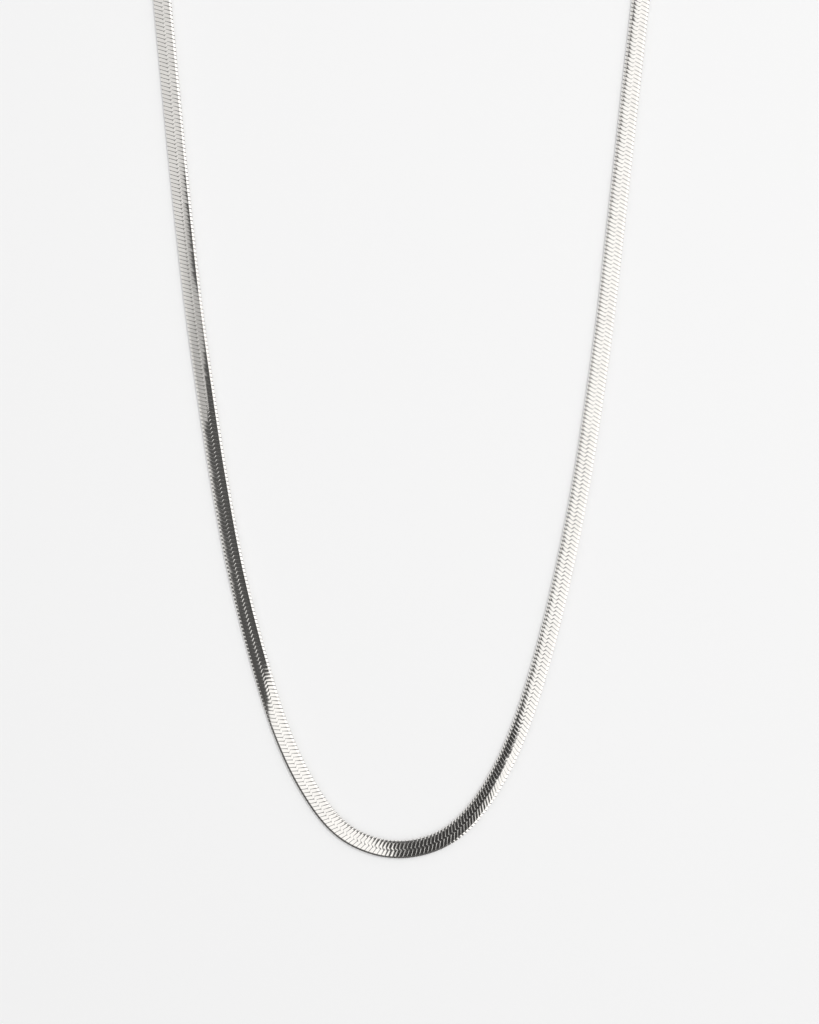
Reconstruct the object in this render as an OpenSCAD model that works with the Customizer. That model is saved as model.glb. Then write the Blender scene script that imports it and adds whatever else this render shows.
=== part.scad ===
// A flat herringbone chain, closed into a necklace by two end caps, two jump rings and a clasp.
// It lies on z = 0 with its drop towards -Y and its clasp towards +Y, centred on X and Y.
// All sizes are in millimetres.

/* [Chain] */
// Width of the chain across its flat face
chain_width = 3; // [2.2:0.1:4]
// Thickness of the chain
chain_thick = 1; // [0.7:0.05:1.3]
// Height of the middle of each face above its two sides
face_crown = 0.06; // [0:0.01:0.12]
// Width of the rounded strip along each edge
edge_round = 0.45; // [0.3:0.05:0.6]
// Length over which each chain end rises from the surface into its cap
rise_length = 14; // [8:1:24]

/* [End caps] */
// Length of a cap from its mouth to the tip of its nose
cap_length = 5.2; // [4.2:0.1:7]
// Wall of a cap above, below and beside the chain
cap_wall = 0.3; // [0.2:0.05:0.5]
// Clearance between the chain and the inside of a cap
cap_gap = 0.12; // [0.08:0.02:0.2]
// Length of chain held inside a cap
chain_seat = 2.6; // [1.8:0.1:3.2]

/* [Lugs] */
// Thickness of the flat lugs that the jump rings pass through
lug_thick = 0.5; // [0.4:0.05:0.6]
// Clearance between a jump ring and the hole of its lug
lug_gap = 0.3; // [0.2:0.02:0.36]
// Width of metal round the hole of a lug
lug_rim = 0.4; // [0.3:0.05:0.5]
// Distance from the solid metal to the edge of the hole
lug_set = 0.15; // [0.1:0.05:0.4]

/* [Jump rings] */
// Radius of a jump ring at the middle of its wire
ring_radius = 1.95; // [1.85:0.05:2.3]
// Thickness of the wire of a jump ring
ring_wire = 0.6; // [0.4:0.05:0.65]
// Lean of a jump ring from upright, in degrees
ring_lean = 35; // [28:1:40]

/* [Clasp] */
// Thickness of the clasp's body
clasp_thick = 2.6; // [2.5:0.1:3]
// Length of the clasp's body
clasp_body = 4.6; // [3.5:0.1:7]
// Thickness of the bow's wire
bow_wire = 0.9; // [0.7:0.05:1]
// Free width inside the bow
bow_width = 2.4; // [2:0.1:3.2]
// Free length inside the bow
bow_length = 4; // [3:0.1:6]
// Clearance between the bow and the jump ring that it holds
bow_gap = 0.25; // [0.2:0.05:0.35]
// Radius of the rounded edges of the clasp's body
clasp_edge = 0.8; // [0.4:0.1:1]

/* [Hidden] */

$fn = 48;

// Cross-section of the chain, seen along it: [across, up] from its middle
flat_half = chain_width / 2 - edge_round;
side_half = chain_thick / 2 - face_crown;
FACE_STEPS = [-1, -0.5, 0, 0.5, 1];
EDGE_ANGLES = [48, 0, -48];
function face_point(k, up) = [k * flat_half, up * (chain_thick / 2 - face_crown * k * k)];
function edge_point(a, side) = [side * (flat_half + edge_round * cos(a)), side * side_half * sin(a)];
SECTION = concat(
    [for (k = FACE_STEPS) face_point(-k, 1)],
    [for (a = EDGE_ANGLES) edge_point(-a, -1)],
    [for (k = FACE_STEPS) face_point(k, -1)],
    [for (a = EDGE_ANGLES) edge_point(-a, 1)]
);

// The clasp and the caps lie along a straight line, whose places are measured from the left cap's mouth
cap_thick = chain_thick + 2 * (cap_gap + cap_wall);
cap_width = chain_width + 2 * (cap_gap + cap_wall);
joint_z = clasp_thick / 2;
ring_z = ring_radius * cos(ring_lean) + ring_wire / 2;
ring_drop = (ring_z - joint_z) / cos(ring_lean);
ring_y = ring_drop * sin(ring_lean);
ring_reach = sqrt(ring_radius * ring_radius - ring_drop * ring_drop);
wire_up = ring_reach / ring_radius * cos(ring_lean);
wire_side = sqrt(1 - wire_up * wire_up);
lug_hole = (ring_wire / 2 + lug_thick / 2 * wire_side) / wire_up + lug_gap;
lug_outer = lug_hole + lug_rim;
lug_neck = 2 * lug_hole;
lug_root = lug_hole + lug_set + lug_outer;
bow_radius = (bow_width + bow_wire) / 2;
bow_straight = bow_length - bow_width / 2;
bow_seat = ring_radius - ring_wire / 2 - bow_gap - bow_wire / 2 / cos(ring_lean);
left_lug_x = cap_length + lug_set + lug_hole;
left_ring_x = left_lug_x + ring_reach;
eye_x = left_ring_x + ring_reach;
body_x = eye_x + lug_hole + lug_set;
bow_x = body_x + clasp_body;
bow_end_x = bow_x + bow_straight + bow_radius;
right_ring_x = bow_end_x + sqrt(bow_seat * bow_seat - ring_drop * ring_drop);
right_lug_x = right_ring_x + ring_reach;
closing_length = right_lug_x + left_lug_x;
mouth_x = closing_length / 2;

// Middle line of the chain between the mouths of the two caps, seen from above
TOP_Y = 94;
ROUTE = [
    [-mouth_x, TOP_Y],
    [-23.6, 91.9], [-31.6, 85.9], [-37.2, 76.9], [-39.8, 66.0], [-40.2, 54.5],
    [-39.1, 43.0], [-37.9, 30.5], [-36.7, 18.0], [-35.4, 5.5], [-33.9, -7.5],
    [-32.0, -21.0], [-29.9, -34.5], [-27.2, -49.0], [-23.7, -63.0], [-19.9, -75.2],
    [-15.6, -84.4], [-10.6, -91.0], [-4.7, -94.2], [1.5, -94.6], [7.4, -92.4],
    [12.3, -87.6], [16.8, -80.0], [20.5, -70.5], [23.8, -59.0], [26.7, -46.5],
    [29.1, -34.0], [31.1, -21.0], [32.8, -8.5], [34.2, 4.0], [35.6, 16.5],
    [37.0, 29.5], [38.4, 42.0], [39.7, 54.5], [39.9, 65.5], [37.4, 76.5],
    [31.8, 85.6], [23.8, 91.8],
    [mouth_x, TOP_Y]
];
// Sections of the chain from one point of the line to the next
STEPS = 4;
last = len(ROUTE) - 1;

// Points of the line carry on straight into the caps
function route_point(i) = i < 0 ? [-2 * mouth_x - ROUTE[1].x, ROUTE[1].y]
    : i > last ? [2 * mouth_x - ROUTE[last - 1].x, ROUTE[last - 1].y]
    : ROUTE[i];

// Smooth curve through the points: place and direction at share t of stretch i
function curve(a, b, c, d, t) =
    (2 * b + (c - a) * t + (2 * a - 5 * b + 4 * c - d) * t * t + (3 * b - a - 3 * c + d) * t * t * t) / 2;
function curve_way(a, b, c, d, t) =
    (c - a + 2 * (2 * a - 5 * b + 4 * c - d) * t + 3 * (3 * b - a - 3 * c + d) * t * t) / 2;
function place(i, t) =
    curve(route_point(i - 1), route_point(i), route_point(i + 1), route_point(i + 2), t);
function way(i, t) =
    curve_way(route_point(i - 1), route_point(i), route_point(i + 1), route_point(i + 2), t);

// Height of the chain's middle: on the surface, and up into the caps at both ends
function smooth(k) = k * k * (3 - 2 * k);
function from_mouths(p) = min(norm(p - ROUTE[0]), norm(p - ROUTE[last]));
function middle_z(p) = chain_thick / 2
    + (cap_thick - chain_thick) / 2 * smooth(1 - min(1, from_mouths(p) / rise_length));

// The section set across the line at place p, where the line runs towards w
function ring_at(p, w) = let (side = [-w.y, w.x] / norm(w))
    [for (s = SECTION) [p.x + side.x * s.x, p.y + side.y * s.x, middle_z(p) + s.y]];

// The section at the end of the chain, inside a cap
function ring_in_cap(x) = [for (s = SECTION) [x, TOP_Y - s.x, cap_thick / 2 + s.y]];

STOPS = [for (i = [0:last - 1]) for (k = [0:STEPS - 1]) [i, k / STEPS]];
LINE = [for (s = STOPS) place(s[0], s[1])];
RINGS = concat(
    [ring_in_cap(-mouth_x + chain_seat)],
    [for (s = STOPS) ring_at(place(s[0], s[1]), way(s[0], s[1]))],
    [ring_at(ROUTE[last], [-1, 0])],
    [ring_in_cap(mouth_x - chain_seat)]
);

// The necklace is centred by the outline of the chain and the width of the clasp
middle_x = (min([for (p = LINE) p.x]) + max([for (p = LINE) p.x])) / 2;
middle_y = (min([for (p = LINE) p.y]) - chain_width / 2 + TOP_Y + bow_radius + bow_wire / 2) / 2;

module centred() {
    translate([-middle_x, -middle_y, 0]) children();
}

// Places its children at x on the closing line, at height z
module on_closing(x, z) {
    centred() translate([x - mouth_x, TOP_Y, z]) children();
}

// Rings of points joined into one closed skin
module skin(rings) {
    n = len(rings[0]);
    points = [for (r = rings) for (p = r) p];
    sides = [for (i = [0:len(rings) - 2]) for (k = [0:n - 1])
        [i * n + k, (i + 1) * n + k, (i + 1) * n + (k + 1) % n, i * n + (k + 1) % n]];
    start = [for (k = [0:n - 1]) k];
    end = [for (k = [0:n - 1]) len(rings) * n - 1 - k];
    polyhedron(points, concat(sides, [start, end]), convexity = 10);
}

// A flat bar along +X with round sides, as wide and thick as given
module round_sided_bar(length, width, thick) {
    rotate([90, 0, 90]) linear_extrude(length) {
        square([width - thick, thick], center = true);
        for (side = [-1, 1]) translate([side * (width - thick) / 2, 0]) circle(d = thick);
    }
}

// A flat lug, centred on its hole, with a neck as wide as the hole that roots in metal towards -X
module lug() {
    difference() {
        union() {
            cylinder(r = lug_outer, h = lug_thick, center = true);
            translate([-lug_root / 2, 0, 0]) cube([lug_root, lug_neck, lug_thick], center = true);
        }
        cylinder(r = lug_hole, h = 2 * lug_thick, center = true);
    }
}

// Outline of a bar that runs from x = 0 to a round nose at its full length
module nosed_outline(length, width) {
    translate([0, -width / 2]) square([length - width / 2, width]);
    translate([length - width / 2, 0]) circle(d = width);
}

// Space that the chain fills in a cap, with its clearance all round
module chain_pocket() {
    depth = chain_seat + cap_gap;
    translate([-depth, 0, cap_thick / 2])
        round_sided_bar(2 * depth, chain_width + 2 * cap_gap, chain_thick + 2 * cap_gap);
}

// An end cap with its mouth at x = 0 and its lug towards +X
module end_cap() {
    difference() {
        union() {
            intersection() {
                translate([0, 0, cap_thick / 2]) round_sided_bar(cap_length, cap_width, cap_thick);
                linear_extrude(cap_thick) nosed_outline(cap_length, cap_width);
            }
            translate([left_lug_x, 0, joint_z]) lug();
        }
        chain_pocket();
    }
}

// A jump ring that leans back and touches the surface with its foot
module jump_ring() {
    translate([0, ring_y, ring_z]) rotate([90 - ring_lean, 0, 0])
        rotate_extrude() translate([ring_radius, 0]) circle(d = ring_wire);
}

// A rectangle with round corners, centred
module round_cornered(wide, high, corner) {
    square([wide - 2 * corner, high], center = true);
    square([wide, high - 2 * corner], center = true);
    for (x = [-1, 1], y = [-1, 1])
        translate([x * (wide / 2 - corner), y * (high / 2 - corner)]) circle(r = corner);
}

// The clasp's body from its nose at x = 0 to its flat end, as wide as the bow
module clasp_block() {
    wide = 2 * bow_radius + bow_wire;
    intersection() {
        linear_extrude(clasp_thick)
            translate([clasp_body, 0]) mirror([1, 0]) nosed_outline(clasp_body, wide);
        translate([0, 0, joint_z]) rotate([90, 0, 90])
            linear_extrude(clasp_body) round_cornered(wide, clasp_thick, clasp_edge);
    }
}

// The clasp's bow: two bars that grow out of the body at x = 0, and the bend that joins them
module clasp_bow() {
    root = bow_wire / 2;
    for (side = [-1, 1]) translate([-root, side * bow_radius, 0]) rotate([0, 90, 0])
        cylinder(d = bow_wire, h = root + bow_straight);
    translate([bow_straight, 0, 0]) rotate([0, 0, -90]) rotate_extrude(angle = 180)
        translate([bow_radius, 0]) circle(d = bow_wire);
}

module chain_band() {
    color("gainsboro") centred() skin(RINGS);
}

module end_cap_left() {
    color("silver") on_closing(0, 0) end_cap();
}

module end_cap_right() {
    color("silver") on_closing(closing_length, 0) mirror([1, 0, 0]) end_cap();
}

module jump_ring_left() {
    color("lightgray") on_closing(left_ring_x, 0) jump_ring();
}

module jump_ring_right() {
    color("lightgray") on_closing(right_ring_x, 0) jump_ring();
}

module clasp() {
    color("silver") {
        on_closing(body_x, 0) clasp_block();
        on_closing(eye_x, joint_z) mirror([1, 0, 0]) lug();
        on_closing(bow_x, joint_z) clasp_bow();
    }
}

chain_band();
end_cap_left();
end_cap_right();
jump_ring_left();
jump_ring_right();
clasp();
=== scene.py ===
"""A flat herringbone chain necklace, lying closed on a pale floor and seen from straight above."""

import math
import random

import bmesh
import bpy
import numpy as np
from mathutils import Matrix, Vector


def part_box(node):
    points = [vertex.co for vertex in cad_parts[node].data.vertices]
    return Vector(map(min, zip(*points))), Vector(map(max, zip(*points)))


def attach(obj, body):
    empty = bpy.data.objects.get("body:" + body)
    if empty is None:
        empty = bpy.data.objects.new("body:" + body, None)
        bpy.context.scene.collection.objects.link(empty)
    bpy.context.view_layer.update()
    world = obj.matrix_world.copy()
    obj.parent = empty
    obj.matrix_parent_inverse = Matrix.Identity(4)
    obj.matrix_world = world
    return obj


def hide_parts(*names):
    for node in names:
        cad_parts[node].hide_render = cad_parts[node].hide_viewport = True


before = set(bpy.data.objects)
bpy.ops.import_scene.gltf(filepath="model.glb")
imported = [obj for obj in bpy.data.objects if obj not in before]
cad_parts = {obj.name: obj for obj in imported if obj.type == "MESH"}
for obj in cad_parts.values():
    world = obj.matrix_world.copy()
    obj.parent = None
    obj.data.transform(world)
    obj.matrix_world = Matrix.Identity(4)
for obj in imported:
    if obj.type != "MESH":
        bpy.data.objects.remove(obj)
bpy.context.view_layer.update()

MM = 0.001
# Places closer together than this count as one
SAME_PLACE = 1e-9

# The chain, as the frame has it. Its ends sit inside the caps, and it rises to them over the rise length.
CHAIN_WIDTH = 3.0 * MM
CHAIN_THICK = 1.0 * MM
CHAIN_SEAT = 2.6 * MM
RISE_LENGTH = 14.0 * MM
CAP_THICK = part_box("end_cap_left")[1].z

# Middle line of the chain between the two cap mouths, in millimetres, repeated from the part's source
TOP_Y = 94.0
ROUTE = [
    (-23.6, 91.9), (-31.6, 85.9), (-37.2, 76.9), (-39.8, 66.0), (-40.2, 54.5),
    (-39.1, 43.0), (-37.9, 30.5), (-36.7, 18.0), (-35.4, 5.5), (-33.9, -7.5),
    (-32.0, -21.0), (-29.9, -34.5), (-27.2, -49.0), (-23.7, -63.0), (-19.9, -75.2),
    (-15.6, -84.4), (-10.6, -91.0), (-4.7, -94.2), (1.5, -94.6), (7.4, -92.4),
    (12.3, -87.6), (16.8, -80.0), (20.5, -70.5), (23.8, -59.0), (26.7, -46.5),
    (29.1, -34.0), (31.1, -21.0), (32.8, -8.5), (34.2, 4.0), (35.6, 16.5),
    (37.0, 29.5), (38.4, 42.0), (39.7, 54.5), (39.9, 65.5), (37.4, 76.5),
    (31.8, 85.6), (23.8, 91.8),
]

# One link, seen from above: a strip that leans, steps back at its middle and leans again
LINK_PITCH = 0.657 * MM
LINK_GAP = 0.012 * MM
FLAT_HALF = 1.08 * MM
STEP_HALF = 0.16 * MM
STEP_END = 0.29 * MM
WEAVE_ACROSS = [0.0, STEP_HALF, STEP_END, FLAT_HALF, 1.38 * MM, 1.5 * MM]
WEAVE_ALONG = [0.0, -0.12 * MM, -0.10 * MM, 0.20 * MM, 0.33 * MM, 0.36 * MM]
# How much the loops narrow at the two edges of the chain, the outer one (-1) and the inner one (1)
LOOP_NARROWING = {-1: [1.0, 1.0, 1.0, 0.95, 0.82, 0.73], 1: [1.0, 1.0, 1.0, 0.86, 0.84, 0.76]}
# Width and drop of the shoulders along a link's flat face: on the outer and the inner half of the chain, at
# the step on each side of the link, and just past the step
SHOULDER = {-1: (0.021 * MM, 0.0042 * MM), 1: (0.027 * MM, 0.0054 * MM)}
STEP_SHOULDER = {1: (0.10 * MM, 0.021 * MM), -1: (0.22 * MM, 0.045 * MM)}
STEP_TAIL = (0.075 * MM, 0.0155 * MM)
# How far the middle of a link's faces stands up
PILLOW = 0.0007 * MM
# Places round a loop, in degrees up from the chain's mid-plane
LOOP_ANGLES = [45, 0, -45]
# How far links lie out of true, and the seed of the draws
LINK_TILT = math.radians(0.012)
TILT_SEED = 7
# The rough bar that a link starts as has this many lengths on each side of its middle
RINGS_EACH_WAY = 2

# How the chain lies, by distance in millimetres from its left end: a faint crown and roll of its face,
# and the slant of its links after the bend at the bottom of the drop
CROWN = 0.0082
ROLL_AT = [80, 93, 96, 107.5, 112.5, 114, 116.5, 123, 132, 134, 137, 148, 164, 172, 185, 250, 434]
ROLL = [
    0.0, -0.0006, 0.0, -0.0005, -0.0010, -0.0018, -0.0038, -0.0034, -0.0019, -0.0008, 0.0028, 0.0014,
    -0.0021, -0.0026, 0.0, 0.0, 0.0,
]
SLANT_AT = [0, 217, 229, 236, 246, 277, 309, 434]
SLANT = [0.0, 0.0, 0.45, 0.40, 0.15, 0.08, 0.0, 0.0]
SLANT_ACROSS = [-1.5 * MM, -1.36 * MM, -1.12 * MM, 1.5 * MM]
SLANT_SHARE = [0.25 * MM, -0.15 * MM, -0.85 * MM, 1.5 * MM]


# The line that the chain follows

def cap_mouth_half():
    """Half the distance between the mouths of the two caps."""
    return (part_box("end_cap_right")[1].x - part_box("end_cap_left")[0].x) / 2


def route_points():
    """The chosen points from mouth to mouth, with one more past each end that keeps the ends level."""
    mouth = cap_mouth_half() / MM
    inner = [(-mouth, TOP_Y), *ROUTE, (mouth, TOP_Y)]
    before = (-2 * mouth - inner[1][0], inner[1][1])
    after = (2 * mouth - inner[-2][0], inner[-2][1])
    return np.array([before, *inner, after]) * MM


def curve_at(points, t):
    """Places and directions on the smooth curve through the points, at positions t counted in stretches."""
    stretch = np.clip(np.floor(t).astype(int), 0, len(points) - 4)
    k = (t - stretch)[:, None]
    a, b, c, d = (points[stretch + i] for i in range(4))
    second = 2 * a - 5 * b + 4 * c - d
    third = 3 * b - a - 3 * c + d
    place = (2 * b + (c - a) * k + second * k ** 2 + third * k ** 3) / 2
    way = (c - a + 2 * second * k + 3 * third * k ** 2) / 2
    return place, way / np.linalg.norm(way, axis=1)[:, None]


class ChainLine:
    """The middle line of the chain, from the end inside the left cap to the end inside the right cap."""

    def __init__(self, samples=60):
        self.points = route_points()
        stretches = len(self.points) - 3
        self.t = np.linspace(0, stretches, stretches * samples + 1)
        place, _ = curve_at(self.points, self.t)
        steps = np.linalg.norm(np.diff(place, axis=0), axis=1)
        self.s = np.concatenate([[0.0], np.cumsum(steps)])
        self.length = self.s[-1] + 2 * CHAIN_SEAT
        low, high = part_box("chain_band")
        self.shift = np.array([
            (low.x + high.x) / 2 - (place[:, 0].min() + place[:, 0].max()) / 2,
            low.y + CHAIN_WIDTH / 2 - place[:, 1].min(),
        ])
        self.mouths = place[[0, -1]]

    def at(self, distance):
        """Places, directions and heights of the middle of the chain at distances from its left end."""
        on_curve = np.clip(distance - CHAIN_SEAT, 0, self.s[-1])
        place, way = curve_at(self.points, np.interp(on_curve, self.s, self.t))
        place = place + way * (distance - CHAIN_SEAT - on_curve)[:, None]
        from_mouth = np.minimum(
            np.linalg.norm(place - self.mouths[0], axis=1),
            np.linalg.norm(place - self.mouths[1], axis=1),
        )
        inside = (distance < CHAIN_SEAT) | (distance > self.length - CHAIN_SEAT)
        rise = np.where(inside, 1.0, np.clip(1 - from_mouth / RISE_LENGTH, 0, 1))
        height = CHAIN_THICK / 2 + (CAP_THICK - CHAIN_THICK) / 2 * rise ** 2 * (3 - 2 * rise)
        return place + self.shift, way, height


# One link, in a straight line along X with its middle at the origin

def lean(across):
    """How far the strip has moved along the chain at a distance from the chain's middle."""
    return math.copysign(1, across) * float(np.interp(abs(across), WEAVE_ACROSS, WEAVE_ALONG))


def half_length(across, up, pitch):
    """Half the strip's length along the chain, which narrows over the loops at the edges."""
    edge = LOOP_NARROWING[1 if across > 0 else -1]
    narrowing = float(np.interp(abs(across), WEAVE_ACROSS, edge)) if up > -SAME_PLACE else 1.0
    return (pitch - LINK_GAP) / 2 * narrowing


def shoulder_at(side, across, up):
    """Width and drop of the shoulder of the flat face, on the side of a link towards 1 or -1."""
    place = across * side
    if up > 0 and abs(place - STEP_HALF) < SAME_PLACE:
        return STEP_SHOULDER[round(side)]
    if up > 0 and abs(place - STEP_END) < SAME_PLACE and side < 0:
        return STEP_TAIL
    return SHOULDER[1 if across > 0 else -1]


def inward(across, up):
    """Direction into the link, square to its outline."""
    if abs(across) <= FLAT_HALF + SAME_PLACE:
        return Vector((0, 0, -math.copysign(1, up)))
    reach = CHAIN_WIDTH / 2 - FLAT_HALF
    from_flat = math.copysign(abs(across) - FLAT_HALF, across)
    return -Vector((0, from_flat / reach ** 2, up / (CHAIN_THICK / 2) ** 2)).normalized()


def link_outline():
    """Outline of a link across the chain: flat above and below, with a rounded loop at each edge."""
    flat = [FLAT_HALF, STEP_END, STEP_HALF, -STEP_HALF, -STEP_END, -FLAT_HALF]
    half = CHAIN_THICK / 2
    reach = CHAIN_WIDTH / 2 - FLAT_HALF
    top = [(a, half) for a in flat]
    left = [
        (-FLAT_HALF - reach * math.cos(math.radians(k)), half * math.sin(math.radians(k)))
        for k in LOOP_ANGLES
    ]
    return top + left + [(-a, -up) for a, up in top + left]


def at_end(vert):
    """Whether a corner of the rough bar lies in one of its two last rings."""
    return abs(vert.co.x) > RINGS_EACH_WAY - 0.5


def in_one_ring(edge):
    """Whether both ends of an edge of the rough bar lie in the same ring."""
    return abs(edge.verts[0].co.x - edge.verts[1].co.x) < 0.5


def rough_bar(bm):
    """The outline drawn out into a closed bar. X is the number of a ring, 0 at the middle."""
    ring = [bm.verts.new((-RINGS_EACH_WAY, a, up)) for a, up in link_outline()]
    edges = [bm.edges.new((ring[i - 1], ring[i])) for i in range(len(ring))]
    for _ in range(2 * RINGS_EACH_WAY):
        made = bmesh.ops.extrude_edge_only(bm, edges=edges)["geom"]
        verts = [v for v in made if isinstance(v, bmesh.types.BMVert)]
        edges = [e for e in made if isinstance(e, bmesh.types.BMEdge) and all(v in verts for v in e.verts)]
        bmesh.ops.translate(bm, verts=verts, vec=(1, 0, 0))
    bmesh.ops.holes_fill(bm, edges=[e for e in bm.edges if e.is_boundary])
    flat = [v for v in bm.verts if at_end(v) and abs(v.co.y) <= FLAT_HALF + SAME_PLACE]
    for top in [v for v in flat if v.co.z > 0]:
        below = next(v for v in flat if v.co.z < 0 and (v.co.xy - top.co.xy).length < SAME_PLACE)
        bmesh.ops.connect_verts(bm, verts=[top, below])


def plain_underside(bm):
    """Leaves out the rings on the flat underside, which is hidden."""
    spare = [
        e for e in bm.edges
        if in_one_ring(e) and not at_end(e.verts[0])
        and all(v.co.z < 0 and abs(v.co.y) <= FLAT_HALF + SAME_PLACE for v in e.verts)
    ]
    bmesh.ops.dissolve_edges(bm, edges=spare, use_verts=True)


def mark_creases(bm):
    """Keeps the face, its shoulders and the facets of the loops crisp against each other."""
    for edge in bm.edges:
        ring = round(abs(edge.verts[0].co.x))
        across = [abs(v.co.y) for v in edge.verts]
        if in_one_ring(edge):
            edge.smooth = ring == 0 or (ring == 1 and max(across) > FLAT_HALF + SAME_PLACE)
        else:
            at_step = any(at_end(v) for v in edge.verts) and max(across) < STEP_HALF + SAME_PLACE
            on_flat = max(across) < FLAT_HALF - SAME_PLACE
            at_equator = max(abs(v.co.z) for v in edge.verts) < SAME_PLACE
            edge.smooth = (on_flat and not at_step) or at_equator


def shape_link(bm, pitch):
    """Moves the rings of the rough bar to the strip's own form."""
    for v in bm.verts:
        ring, across, up = round(v.co.x), v.co.y, v.co.z
        side = math.copysign(1, ring)
        width, drop = shoulder_at(side, across, up)
        reach = half_length(across, up, pitch) - (width if abs(ring) == 1 else 0)
        depth = {0: -PILLOW, 1: 0.0, 2: drop}[abs(ring)]
        moved = Vector((0, across, up)) + inward(across, up) * depth
        moved.x = (reach * side if ring else 0) + lean(across)
        v.co = moved


def link_mesh(pitch):
    """One closed link."""
    bm = bmesh.new()
    shaded_gap = bm.faces.layers.float.new("shaded_gap")
    rough_bar(bm)
    for face in bm.faces:
        face.smooth = True
        # The faces at both ends of a link, in the gaps between links, are marked for painted shade
        face[shaded_gap] = 1.0 if all(at_end(v) for v in face.verts) else 0.0
    plain_underside(bm)
    mark_creases(bm)
    shape_link(bm, pitch)
    bmesh.ops.recalc_face_normals(bm, faces=bm.faces)
    mesh = bpy.data.meshes.new("link")
    bm.to_mesh(mesh)
    bm.free()
    return mesh


# The whole chain

def put_in_scene(name, mesh):
    piece = bpy.data.objects.new(name, mesh)
    bpy.context.scene.collection.objects.link(piece)
    return piece


def repeat_links(mesh, count, pitch):
    """A straight row of links as one mesh."""
    row = put_in_scene("link_row", mesh)
    array = row.modifiers.new("row", "ARRAY")
    array.count = count
    array.use_relative_offset = False
    array.use_constant_offset = True
    array.constant_offset_displace = (pitch, 0, 0)
    bpy.context.view_layer.update()
    ready = row.evaluated_get(bpy.context.evaluated_depsgraph_get())
    whole = bpy.data.meshes.new_from_object(ready)
    bpy.data.objects.remove(row)
    return whole


def lay_on_line(mesh, link, line, count, pitch):
    """Lays the straight row along the chain's line. Each link lies very slightly out of true."""
    base = np.array([v.co for v in link.vertices])
    number = np.repeat(np.arange(count), len(base))
    along, across, up = np.tile(base, (count, 1)).T
    middle = (number + 0.5) * pitch
    slant = np.interp(middle / MM, SLANT_AT, SLANT)
    place, way, height = line.at(middle + along + slant * np.interp(across, SLANT_ACROSS, SLANT_SHARE))
    side = np.stack([-way[:, 1], way[:, 0]], axis=1)
    flat = place + side * across[:, None]
    draws = random.Random(TILT_SEED)
    tilts = np.array([(draws.gauss(0, LINK_TILT), draws.gauss(0, LINK_TILT)) for _ in range(count)])
    roll = np.interp(middle / MM, ROLL_AT, ROLL) + tilts[number, 1]
    crown = CROWN / CHAIN_WIDTH * across ** 2 * np.sign(up)
    level = height + up - crown - roll * across + tilts[number, 0] * along
    mesh.vertices.foreach_set("co", np.column_stack([flat, level]).ravel())
    mesh.update()


def herringbone_chain():
    """The woven chain as one piece, in place of the plain band."""
    line = ChainLine()
    count = round(line.length / LINK_PITCH)
    pitch = line.length / count
    link = link_mesh(pitch)
    whole = repeat_links(link, count, pitch)
    lay_on_line(whole, link, line, count, pitch)
    whole.name = "herringbone_links"
    piece = put_in_scene("herringbone_links", whole)
    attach(piece, "root")
    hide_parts("chain_band")
    return piece


# Smudges and painted shade: faint smudges over the silver, and painted shade on the faces in the gaps
# between the links

SMUDGE_SCALE = 420
SMUDGE_DETAIL = 3
SMUDGE_RANGE = (0.45, 0.75)
SMUDGE_STRENGTH = 0.06
RECESS_DULLNESS = 0.22
CHAIN_BRIGHT = (0.95, 0.94, 0.925)
# Dark colour on the chain: that of its faint smudges, and the painted shade on the faces in the gaps
# between links
CHAIN_SMUDGE_AND_GAP_SHADE = (0.10, 0.095, 0.09)
CHAIN_POLISH = 0.02
FITTING_BRIGHT = (0.93, 0.92, 0.905)
FITTING_TARNISH = (0.45, 0.44, 0.42)
FITTING_POLISH = 0.10


def silver_smudges_and_shade():
    """Shared look of polished silver: faint smudges, and painted shade on the duller faces in the gaps
    between links.
    """
    group = bpy.data.node_groups.new("silver smudges and shade", "ShaderNodeTree")
    face = group.interface
    for name, kind in (("Bright", "NodeSocketColor"), ("Smudge and shade", "NodeSocketColor"),
                       ("Polish", "NodeSocketFloat"), ("Shaded gap", "NodeSocketFloat")):
        face.new_socket(name, in_out="INPUT", socket_type=kind)
    for name, kind in (("Color", "NodeSocketColor"), ("Roughness", "NodeSocketFloat")):
        face.new_socket(name, in_out="OUTPUT", socket_type=kind)
    nodes = group.nodes
    given, out = nodes.new("NodeGroupInput"), nodes.new("NodeGroupOutput")
    coords = nodes.new("ShaderNodeTexCoord")
    smudge = nodes.new("ShaderNodeTexNoise")
    smudge.inputs["Scale"].default_value = SMUDGE_SCALE
    smudge.inputs["Detail"].default_value = SMUDGE_DETAIL
    group.links.new(coords.outputs["Object"], smudge.inputs["Vector"])
    faint = nodes.new("ShaderNodeMapRange")
    faint.inputs["From Min"].default_value, faint.inputs["From Max"].default_value = SMUDGE_RANGE
    group.links.new(smudge.outputs["Fac"], faint.inputs["Value"])
    # Share of the dark colour: all of it on the faces in the gaps, as painted shade, and a little where the
    # smudges lie
    dark_colour_share = nodes.new("ShaderNodeMath")
    dark_colour_share.operation = "MULTIPLY_ADD"
    dark_colour_share.inputs[1].default_value = SMUDGE_STRENGTH
    group.links.new(faint.outputs["Result"], dark_colour_share.inputs[0])
    group.links.new(given.outputs["Shaded gap"], dark_colour_share.inputs[2])
    tint = nodes.new("ShaderNodeMix")
    tint.data_type = "RGBA"
    group.links.new(dark_colour_share.outputs[0], tint.inputs["Factor"])
    group.links.new(given.outputs["Bright"], tint.inputs[6])
    group.links.new(given.outputs["Smudge and shade"], tint.inputs[7])
    dull = nodes.new("ShaderNodeMath")
    dull.operation = "MULTIPLY_ADD"
    dull.inputs[1].default_value = RECESS_DULLNESS
    group.links.new(given.outputs["Shaded gap"], dull.inputs[0])
    group.links.new(given.outputs["Polish"], dull.inputs[2])
    group.links.new(tint.outputs[2], out.inputs["Color"])
    group.links.new(dull.outputs[0], out.inputs["Roughness"])
    return group


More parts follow.
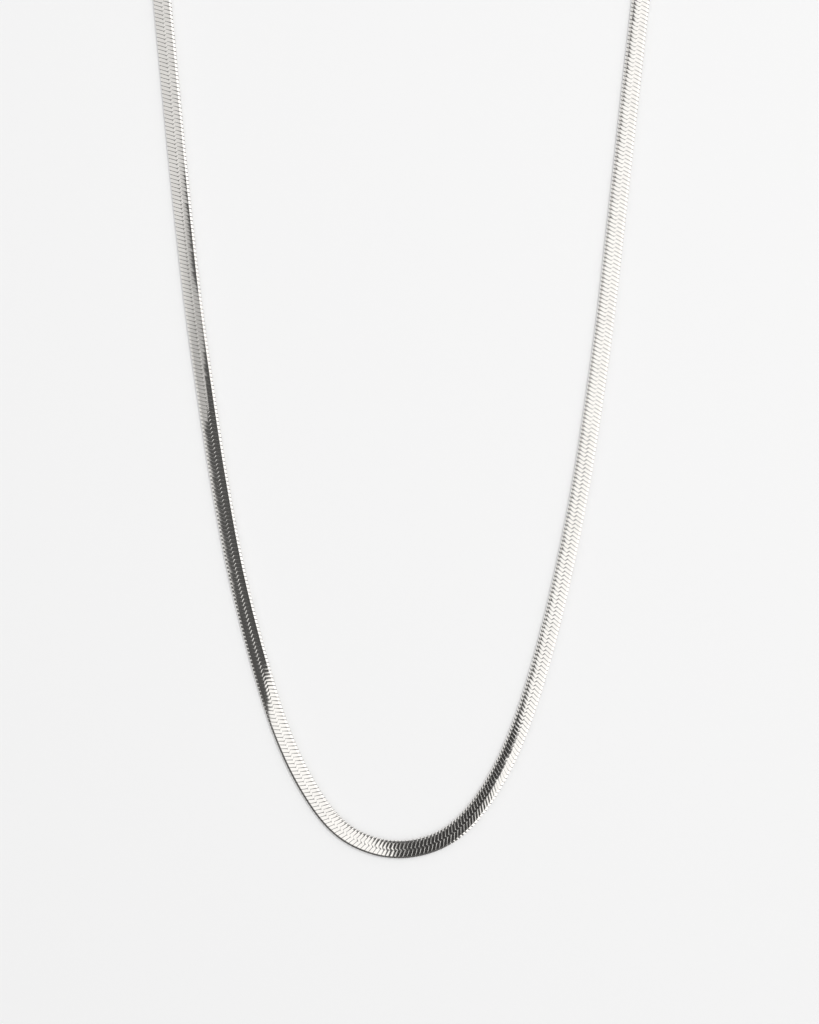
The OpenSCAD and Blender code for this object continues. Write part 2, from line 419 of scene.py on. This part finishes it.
def silver_material(name, silver_look, bright, smudge_and_shade, polish, shaded_gap_attribute=None):
    """Polished silver. The polish is its roughness away from the marked faces in the gaps, which get
    painted shade and are duller.
    """
    material = bpy.data.materials.new(name)
    material.use_nodes = True
    tree = material.node_tree
    shader = tree.nodes["Principled BSDF"]
    shader.inputs["Metallic"].default_value = 1.0
    look = tree.nodes.new("ShaderNodeGroup")
    look.node_tree = silver_look
    look.inputs["Bright"].default_value = (*bright, 1)
    look.inputs["Smudge and shade"].default_value = (*smudge_and_shade, 1)
    look.inputs["Polish"].default_value = polish
    # Faces marked as gaps between links take the dark colour as painted shade
    if shaded_gap_attribute:
        shaded_gap = tree.nodes.new("ShaderNodeAttribute")
        shaded_gap.attribute_name = shaded_gap_attribute
        tree.links.new(shaded_gap.outputs["Fac"], look.inputs["Shaded gap"])
    tree.links.new(look.outputs["Color"], shader.inputs["Base Color"])
    tree.links.new(look.outputs["Roughness"], shader.inputs["Roughness"])
    return material


# Caps and clasp: corners this close are merged, faces this level are joined, and edges this sharp are eased

MERGE_DISTANCE = 1e-7
LEVEL_ANGLE = math.radians(0.5)
SHARP_ANGLE = math.radians(35)
EASED_EDGE = 0.09 * MM
EASED_STEPS = 3
SHADING_WEIGHT = 100


def softened(node, name, material):
    """A copy of a fitting's solid with its hard edges eased, in place of the plain one."""
    bm = bmesh.new()
    bm.from_mesh(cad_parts[node].data)
    bmesh.ops.remove_doubles(bm, verts=bm.verts, dist=MERGE_DISTANCE)
    bmesh.ops.dissolve_limit(bm, angle_limit=LEVEL_ANGLE, verts=bm.verts, edges=bm.edges)
    hard = [e for e in bm.edges if e.is_manifold and e.calc_face_angle() > SHARP_ANGLE]
    bmesh.ops.bevel(bm, geom=hard, offset=EASED_EDGE, affect="EDGES", segments=EASED_STEPS, profile=0.5,
                    material=-1, clamp_overlap=True)
    for face in bm.faces:
        face.smooth = True
    mesh = bpy.data.meshes.new(name)
    bm.to_mesh(mesh)
    bm.free()
    mesh.materials.append(material)
    piece = put_in_scene(name, mesh)
    even = piece.modifiers.new("even shading", "WEIGHTED_NORMAL")
    even.weight = SHADING_WEIGHT
    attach(piece, "root")
    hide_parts(node)


# Studio

FRAME_CENTRE = (1.096 * MM, -39.926 * MM)
FRAME_HEIGHT = 165.9 * MM
CAMERA_HEIGHT = 0.45
SENSOR = 36.0
FLOOR_HALF = 1.5
FLOOR_TONE = 0.93
FLOOR_ROUGHNESS = 0.6
LIGHT_PLACE = (0.19, 0.11, 0.80)
LIGHT_SIZE = 0.2
LIGHT_ENERGY = 2.1
# Strength of the even light from the sides and from straight above
EVEN_LIGHT = (0.16, 0.98)
WHITE = (1.0, 1.0, 1.0)
ROOM_TINT = (1.0, 0.983, 0.958)
BACKDROP = (0.90, 0.90, 0.90)


def camera_above():
    """Camera straight above the middle of the photograph's frame."""
    data = bpy.data.cameras.new("camera")
    data.sensor_fit = "VERTICAL"
    data.sensor_height = SENSOR
    data.sensor_width = SENSOR
    data.lens = SENSOR * (CAMERA_HEIGHT - CHAIN_THICK) / FRAME_HEIGHT
    camera = bpy.data.objects.new("camera", data)
    camera.location = (*FRAME_CENTRE, CAMERA_HEIGHT)
    bpy.context.scene.collection.objects.link(camera)
    bpy.context.scene.camera = camera


def pale_floor():
    """Plain floor that the necklace lies on."""
    bm = bmesh.new()
    bmesh.ops.create_grid(bm, x_segments=1, y_segments=1, size=FLOOR_HALF)
    mesh = bpy.data.meshes.new("floor")
    bm.to_mesh(mesh)
    bm.free()
    floor = put_in_scene("floor", mesh)
    material = bpy.data.materials.new("pale floor")
    material.use_nodes = True
    shader = material.node_tree.nodes["Principled BSDF"]
    shader.inputs["Base Color"].default_value = (FLOOR_TONE, FLOOR_TONE, FLOOR_TONE, 1)
    shader.inputs["Roughness"].default_value = FLOOR_ROUGHNESS
    mesh.materials.append(material)


def window_light():
    """Soft light from high on the right, which gives the soft shadow on the chain's left."""
    data = bpy.data.lights.new("window", "AREA")
    data.shape = "SQUARE"
    data.size = LIGHT_SIZE
    data.energy = LIGHT_ENERGY
    light = bpy.data.objects.new("window", data)
    light.location = LIGHT_PLACE
    light.rotation_mode = "QUATERNION"
    light.rotation_quaternion = Vector(light.location).to_track_quat("Z", "Y")
    light.visible_glossy = False
    bpy.context.scene.collection.objects.link(light)


# What the chain mirrors: a grey screen on its left, a white one on its right, and between them the dark
# shape of the camera and its stand. Places are tangents of the direction from straight up: to the right, to
# the back, or out in any direction. Turns are angles in degrees from the right. A fade or step has a start
# and an end. A change, a reach and the start of a far part have a middle and half their width.

# Softness of edges: of the plain ones, of those along turns, and of the gap in front
EDGE_SOFTNESS = 0.0008
TURN_SOFTNESS = 4
FRONT_SOFTNESS = 0.6

# The grey screen, darker towards the front and the camera, along a slanted line
GREY_SCREEN = (0.755, 0.49)
GREY_FADE = (-0.129, -0.106)
GREY_FADE_SLANT = -0.35

# The white screen, low down and overhead, and how far out it changes
WHITE_SCREEN = 1.28
WHITE_OVERHEAD = 1.05
WHITE_CHANGE = (0.45, 0.1)

# The dark shape overhead: its left side, the lines on its right as slope and start, how far out it reaches,
# and its tones with the place where they change
STAND_LEFT = -0.0745
STAND_RIGHT = ((0.205, 0.0500), (0.135, 0.0499))
STAND_RIGHT_LEAST = 0.0318
STAND_RIGHT_FRONT = (0.353, 0.0673)
STAND_RIGHT_STEP = (-0.079, -0.071)
STAND_REACH = (0.27, 0.03)
STAND_LEFT_TONE = 0.085
STAND_RIGHT_TONE = 0.045
STAND_TONE_CHANGE = (-0.01, 0.02)

# White window below the left part of the dark shape: its sides, and the slope and start of its top
WINDOW_SIDES = (-0.057, -0.0078)
WINDOW_TOP = (1.2, -0.0014)

# Dark gaps between the screens, as turns, near the dark shape and far out, and where far out begins
GAP_TONE = 0.12
NEAR_GAP = (28, 160)
FAR_GAP = (88, 113)
NEAR_FRONT_GAP = (-145, -39.4)
FAR_FRONT_GAP = (-166, -55)
FAR_OUT = (1.1, 0.15)

# Nearest overhead the gaps are lighter, but for two dark stretches
GAP_TONE_OVERHEAD = 0.38
LIGHTER_GAPS_REACH = (0.58, 0.08)
DARK_BEHIND = (70, 95)
DARK_IN_FRONT = (-108, -91)

# A second white screen, low on the left towards the front
LOW_LEFT_SCREEN = (-200, -163)
LOW_LEFT_START = (0.5, 0.1)
LOW_LEFT_TONE = 0.75


class Sky:
    """Builds the surroundings from their direction, seen from the chain."""

    LEAST_UP = 0.02

    def __init__(self, tree):
        self.tree = tree
        coords = tree.nodes.new("ShaderNodeTexCoord")
        parts = tree.nodes.new("ShaderNodeSeparateXYZ")
        tree.links.new(coords.outputs["Generated"], parts.inputs[0])
        up = self.math("MAXIMUM", parts.outputs["Z"], self.LEAST_UP)
        self.right = self.math("DIVIDE", parts.outputs["X"], up)
        self.back = self.math("DIVIDE", parts.outputs["Y"], up)
        turn = self.math("ARCTAN2", parts.outputs["Y"], parts.outputs["X"])
        self.turn = self.math("DEGREES", turn)
        squares = self.math("ADD", self.math("POWER", self.right, 2), self.math("POWER", self.back, 2))
        self.out = self.math("SQRT", squares)

    def feed(self, socket, value):
        """Gives a socket a plain number, or what another node puts out."""
        if isinstance(value, (int, float)):
            socket.default_value = value
        else:
            self.tree.links.new(value, socket)

    def math(self, operation, *values):
        node = self.tree.nodes.new("ShaderNodeMath")
        node.operation = operation
        for socket, value in zip(node.inputs, values):
            self.feed(socket, value)
        return node.outputs[0]

    def past(self, value, edge, softness=EDGE_SOFTNESS):
        """0 before the edge and 1 past it, with a soft change between."""
        node = self.tree.nodes.new("ShaderNodeMapRange")
        node.interpolation_type = "SMOOTHSTEP"
        node.inputs["From Min"].default_value = edge - softness
        node.inputs["From Max"].default_value = edge + softness
        self.tree.links.new(value, node.inputs["Value"])
        return node.outputs["Result"]

    def between(self, value, start, end):
        """0 before the start and 1 past the end, with an even change between."""
        return self.past(value, (start + end) / 2, (end - start) / 2)

    def outside(self, mask):
        return self.math("SUBTRACT", 1.0, mask)

    def before(self, value, edge, softness=EDGE_SOFTNESS):
        return self.outside(self.past(value, edge, softness))

    def inside(self, value, low, high, softness=EDGE_SOFTNESS):
        return self.math("MULTIPLY", self.past(value, low, softness), self.before(value, high, softness))

    def turned(self, low, high, softness=TURN_SOFTNESS):
        """1 between two turns."""
        return self.inside(self.turn, low, high, softness)

    def both(self, first, second):
        return self.math("MULTIPLY", first, second)

    def laid_over(self, below, mask, brightness):
        """The brightness where the mask is 1, and what was below where it is 0."""
        node = self.tree.nodes.new("ShaderNodeMix")
        self.feed(node.inputs["Factor"], mask)
        self.feed(node.inputs[2], below)
        self.feed(node.inputs[3], brightness)
        return node.outputs[0]


def camera_stand(sky):
    """Mask of the dark shape overhead, with the white window below its left part."""
    lines = [sky.math("MULTIPLY_ADD", sky.back, slope, start) for slope, start in STAND_RIGHT]
    front = sky.math("MULTIPLY_ADD", sky.back, *STAND_RIGHT_FRONT)
    front = sky.math("MAXIMUM", front, STAND_RIGHT_LEAST)
    least = sky.laid_over(front, sky.between(sky.back, *STAND_RIGHT_STEP), STAND_RIGHT_LEAST)
    nearest = sky.math("MAXIMUM", sky.math("MINIMUM", *lines), least)
    right_side = sky.math("SUBTRACT", sky.right, nearest)
    stand = sky.both(sky.past(sky.right, STAND_LEFT), sky.before(right_side, 0.0))
    under = sky.math("SUBTRACT", sky.back, sky.math("MULTIPLY_ADD", sky.right, *WINDOW_TOP))
    window = sky.both(sky.inside(sky.right, *WINDOW_SIDES), sky.before(under, 0.0))
    return sky.both(stand, sky.outside(window))


def screens(sky):
    """Brightness of the grey screen on the left, the white one on the right and the low one on the left."""
    slanted = sky.math("MULTIPLY_ADD", sky.back, GREY_FADE_SLANT, sky.right)
    grey = sky.laid_over(GREY_SCREEN[0], sky.between(slanted, *GREY_FADE), GREY_SCREEN[1])
    white = sky.laid_over(WHITE_OVERHEAD, sky.past(sky.out, *WHITE_CHANGE), WHITE_SCREEN)
    look = sky.laid_over(white, sky.before(sky.right, STAND_LEFT), grey)
    low_left = sky.both(sky.turned(*LOW_LEFT_SCREEN), sky.past(sky.out, *LOW_LEFT_START))
    return sky.laid_over(look, low_left, LOW_LEFT_TONE)


def gaps_between_screens(sky):
    """Mask and brightness of the dark gaps behind and in front."""
    far = sky.past(sky.out, *FAR_OUT)
    behind = sky.laid_over(sky.turned(*NEAR_GAP), far, sky.turned(*FAR_GAP))
    front = sky.laid_over(sky.turned(*NEAR_FRONT_GAP, FRONT_SOFTNESS), far, sky.turned(*FAR_FRONT_GAP))
    gaps = sky.both(sky.math("MAXIMUM", behind, front), sky.past(sky.out, *STAND_REACH))
    dark = sky.math("MAXIMUM", sky.turned(*DARK_BEHIND), sky.turned(*DARK_IN_FRONT))
    lighter = sky.both(sky.before(sky.out, *LIGHTER_GAPS_REACH), sky.outside(dark))
    return gaps, sky.laid_over(GAP_TONE, lighter, GAP_TONE_OVERHEAD)


def mirrored_room(tree):
    """Brightness of the room in each direction."""
    sky = Sky(tree)
    look = sky.laid_over(screens(sky), *gaps_between_screens(sky))
    tone = sky.laid_over(STAND_LEFT_TONE, sky.past(sky.right, *STAND_TONE_CHANGE), STAND_RIGHT_TONE)
    overhead = sky.both(camera_stand(sky), sky.before(sky.out, *STAND_REACH))
    return sky.laid_over(look, overhead, tone)


def plain_light(tree, color):
    light = tree.nodes.new("ShaderNodeBackground")
    light.inputs["Color"].default_value = (*color, 1)
    light.inputs["Strength"].default_value = 1.0
    return light


def overhead_light(tree):
    """Light for everything but the metal: strongest from straight above, weak from the sides."""
    coords = tree.nodes.new("ShaderNodeTexCoord")
    parts = tree.nodes.new("ShaderNodeSeparateXYZ")
    tree.links.new(coords.outputs["Generated"], parts.inputs[0])
    grows = tree.nodes.new("ShaderNodeMapRange")
    grows.inputs["To Min"].default_value, grows.inputs["To Max"].default_value = EVEN_LIGHT
    tree.links.new(parts.outputs["Z"], grows.inputs["Value"])
    light = plain_light(tree, WHITE)
    tree.links.new(grows.outputs["Result"], light.inputs["Strength"])
    return light


def studio_sky():
    """The room as the metal mirrors it, a pale backdrop, and plain soft light for everything else."""
    world = bpy.data.worlds.new("studio")
    bpy.context.scene.world = world
    world.use_nodes = True
    tree = world.node_tree
    tree.nodes.clear()
    room = plain_light(tree, ROOM_TINT)
    tree.links.new(mirrored_room(tree), room.inputs["Strength"])
    even = overhead_light(tree)
    backdrop = plain_light(tree, BACKDROP)
    unlit = tree.nodes.new("ShaderNodeMixShader")
    chosen = tree.nodes.new("ShaderNodeMixShader")
    path = tree.nodes.new("ShaderNodeLightPath")
    out = tree.nodes.new("ShaderNodeOutputWorld")
    tree.links.new(path.outputs["Is Camera Ray"], unlit.inputs["Fac"])
    tree.links.new(even.outputs[0], unlit.inputs[1])
    tree.links.new(backdrop.outputs[0], unlit.inputs[2])
    tree.links.new(path.outputs["Is Glossy Ray"], chosen.inputs["Fac"])
    tree.links.new(unlit.outputs[0], chosen.inputs[1])
    tree.links.new(room.outputs[0], chosen.inputs[2])
    tree.links.new(chosen.outputs[0], out.inputs["Surface"])


bpy.context.scene.view_settings.view_transform = "Standard"
camera_above()
pale_floor()
window_light()
studio_sky()

silver_look = silver_smudges_and_shade()
chain = herringbone_chain()
chain.data.materials.clear()
# The chain's faces in the gaps between links get painted shade through the marked attribute
chain.data.materials.append(
    silver_material("chain silver", silver_look, CHAIN_BRIGHT, CHAIN_SMUDGE_AND_GAP_SHADE, CHAIN_POLISH, "shaded_gap"))
fitting_silver = silver_material("fitting silver", silver_look, FITTING_BRIGHT, FITTING_TARNISH, FITTING_POLISH)
for node in ("jump_ring_left", "jump_ring_right"):
    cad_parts[node].data.materials.clear()
    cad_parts[node].data.materials.append(fitting_silver)
for node in ("end_cap_left", "end_cap_right", "clasp"):
    softened(node, node + "_eased", fitting_silver)
